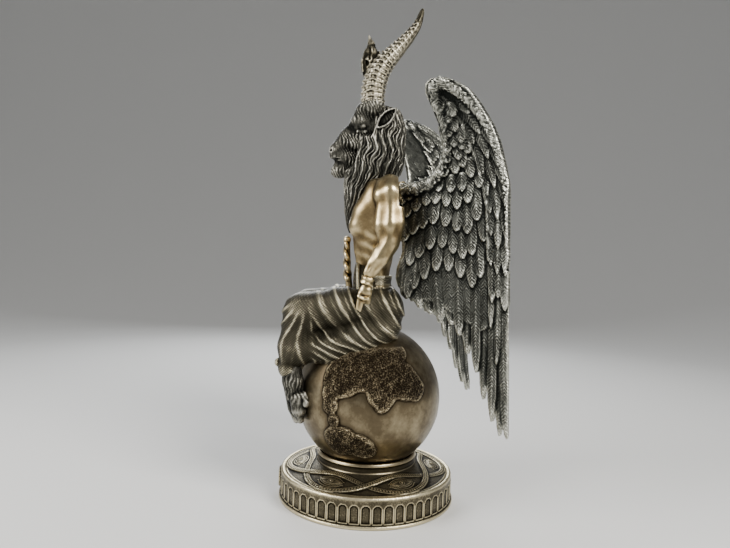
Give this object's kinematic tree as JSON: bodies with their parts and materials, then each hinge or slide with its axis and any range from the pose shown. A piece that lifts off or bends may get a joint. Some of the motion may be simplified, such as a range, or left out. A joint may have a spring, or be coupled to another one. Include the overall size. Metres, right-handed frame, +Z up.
{
  "type": "baphomet figurine",
  "caption": "Bronze-finish figurine: a winged, goat-headed seated figure on a globe over a round plinth with carved knotwork. Stands on a shelf or altar.",
  "frame": {"origin": "centre of the plinth's flat underside, on the surface it stands on", "axes": "+Z up; the figure faces -Y; +X is the figure's left side, and the wings spread behind it towards +Y"},
  "size_m": [0.16, 0.1672, 0.3803],
  "materials": {
    "plinth": "dark olive bronze patina with polished edges",
    "globe": "dark brown bronze, polished sea and matt raised land",
    "figure": "aged bronze, gold-brown skin and dark worn trousers",
    "wings": "silver-grey rubbed bronze over a near-black patina"
  },
  "bodies": {
    "root": {"plinth": "plinth", "globe": "globe", "figure": "figure", "wing_left": "wings", "wing_right": "wings"}
  },
  "joints": []
}
